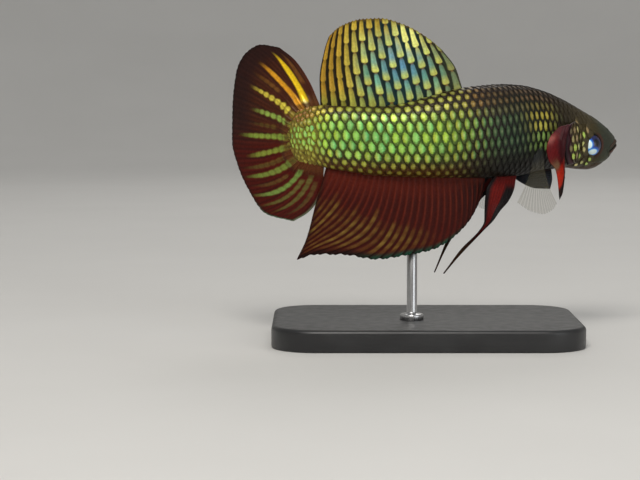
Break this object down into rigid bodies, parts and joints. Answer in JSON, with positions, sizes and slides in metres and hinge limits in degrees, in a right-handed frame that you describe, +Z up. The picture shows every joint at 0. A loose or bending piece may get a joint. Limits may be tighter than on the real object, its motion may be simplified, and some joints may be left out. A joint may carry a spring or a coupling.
{
  "type": "betta fish model on a display stand",
  "caption": "Life-size still model of a male betta fish with its fins spread and gill covers raised, held by a flat base and a rod.",
  "frame": {"origin": "centre of the underside of the whole model's box, on the flat underside of the stand's base", "axes": "+X towards the fish's head, along the length of the fish; +Y towards the fish's left side; +Z up"},
  "size_m": [0.054, 0.029, 0.0438],
  "materials": {
    "head_skin": "wet smooth dark brown-grey skin with small pale spots",
    "scaled_skin": "wet scales with iridescent green and yellow-green centres and dark red-brown edges",
    "eye": "clear cornea over an electric blue iris and dark pupil",
    "gill_cover": "dark scaled plate with pale yellow-green spots and a purple-black edge",
    "gill_membrane": "soft wet dark red and black membrane over bony rays",
    "dorsal_fin": "translucent fin with iridescent yellow, green and blue dashes between black bars",
    "anal_fin": "maroon fin with olive gold streaks and a blackish margin",
    "caudal_fin": "dark red-brown rayed fin with yellow and olive streaks and a pale rim",
    "pelvic_fin": "deep red narrow fin with a black front edge and brown thread",
    "pectoral_fin": "clear fin with faint pale rays",
    "stand_paint": "satin black powder coat",
    "stand_steel": "brushed stainless steel"
  },
  "bodies": {
    "root": {"head": "head_skin", "lower_jaw": "head_skin", "trunk": "scaled_skin", "tail_stalk": "scaled_skin", "eye_left": "eye", "eye_right": "eye", "gill_cover_left": "gill_cover", "gill_cover_right": "gill_cover", "gill_membrane_left": "gill_membrane", "gill_membrane_right": "gill_membrane", "dorsal_fin": "dorsal_fin", "anal_fin": "anal_fin", "caudal_fin": "caudal_fin", "pelvic_fin_left": "pelvic_fin", "pelvic_fin_right": "pelvic_fin", "pectoral_fin_left": "pectoral_fin", "pectoral_fin_right": "pectoral_fin", "stand_base": "stand_paint", "stand_rod": "stand_steel"}
  },
  "joints": []
}
